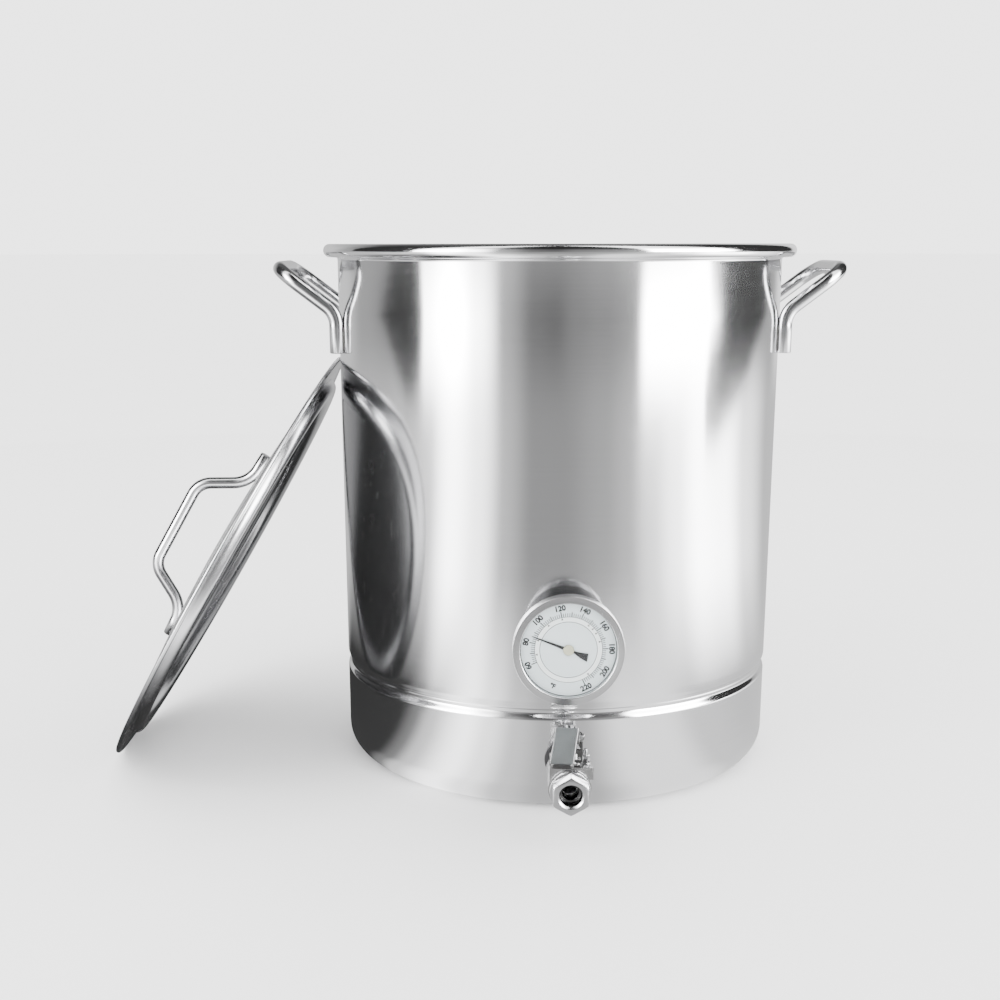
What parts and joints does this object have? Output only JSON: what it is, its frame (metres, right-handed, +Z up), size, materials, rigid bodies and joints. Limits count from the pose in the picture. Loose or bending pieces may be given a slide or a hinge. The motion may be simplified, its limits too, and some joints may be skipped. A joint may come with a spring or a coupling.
{
  "type": "brew kettle",
  "caption": "Straight-sided stainless brew kettle with loop side handles, a front dial thermometer, a lever ball valve at the bottom, and a domed lid leaning beside it.",
  "frame": {"origin": "centre of the kettle's flat underside, on the floor", "axes": "+Z up along the kettle's axis, -Y towards the thermometer and the valve, the lid leans at -X"},
  "size_m": [0.5907, 0.513, 0.413],
  "materials": {
    "kettle_steel": "polished stainless sheet with a fine grain",
    "handle_steel": "satin polished stainless bar",
    "lid_steel": "satin stainless sheet",
    "satin_steel": "machined stainless",
    "cast_steel": "cast and machined stainless",
    "lever_steel": "pressed stainless strip",
    "bezel_steel": "satin spun stainless",
    "silicone": "matte black silicone",
    "ptfe": "waxy white",
    "brass": "machined brass",
    "dial_paint": "matte pale paint",
    "black_paint": "matte black paint",
    "lens_glass": "clear flat glass"
  },
  "bodies": {
    "kettle": {"kettle_body": "kettle_steel", "left_handle": "handle_steel", "right_handle": "handle_steel", "thermometer_gasket": "silicone", "thermometer_bushing": "satin_steel", "thermometer_seal": "silicone", "thermometer_locknut": "satin_steel", "thermometer_stem": "satin_steel", "bimetal_coil": "brass", "thermometer_case": "satin_steel", "thermometer_dial": "dial_paint", "lens_gasket": "silicone", "thermometer_lens": "lens_glass", "thermometer_bezel": "bezel_steel", "spindle_bush": "brass", "bulkhead_gasket": "silicone", "bulkhead_nipple": "satin_steel", "bulkhead_seal": "silicone", "bulkhead_washer": "satin_steel", "bulkhead_locknut": "satin_steel", "valve_body": "cast_steel", "valve_end_cap": "cast_steel", "inlet_seat": "ptfe", "outlet_seat": "ptfe", "stem_packing": "ptfe", "gland_nut": "satin_steel", "stop_bolt": "satin_steel", "stop_nut": "satin_steel"},
    "lid": {"lid_panel": "lid_steel", "lid_handle": "handle_steel"},
    "needle": {"pointer_spindle": "satin_steel", "pointer": "black_paint", "pointer_cap": "brass"},
    "lever": {"valve_ball": "satin_steel", "valve_stem": "satin_steel", "valve_lever": "lever_steel", "lever_washer": "satin_steel", "lever_nut": "satin_steel"}
  },
  "joints": [
    {"name": "lid_tip", "type": "hinge", "parent": "kettle", "child": "lid", "pos_m": [-0.36611, 0, 0.0016], "axis": [0, -1, 0], "range_deg": [0, 98]},
    {"name": "valve_turn", "type": "hinge", "parent": "kettle", "child": "lever", "pos_m": [0, -0.222, 0.075], "axis": [0, 0, 1], "range_deg": [-84, 6]},
    {"name": "pointer_turn", "type": "hinge", "parent": "kettle", "child": "needle", "pos_m": [0, -0.2015, 0.1345], "axis": [0, 1, 0], "range_deg": [-43.5, 224.6], "stiffness_Nm_per_rad": 0.001}
  ]
}
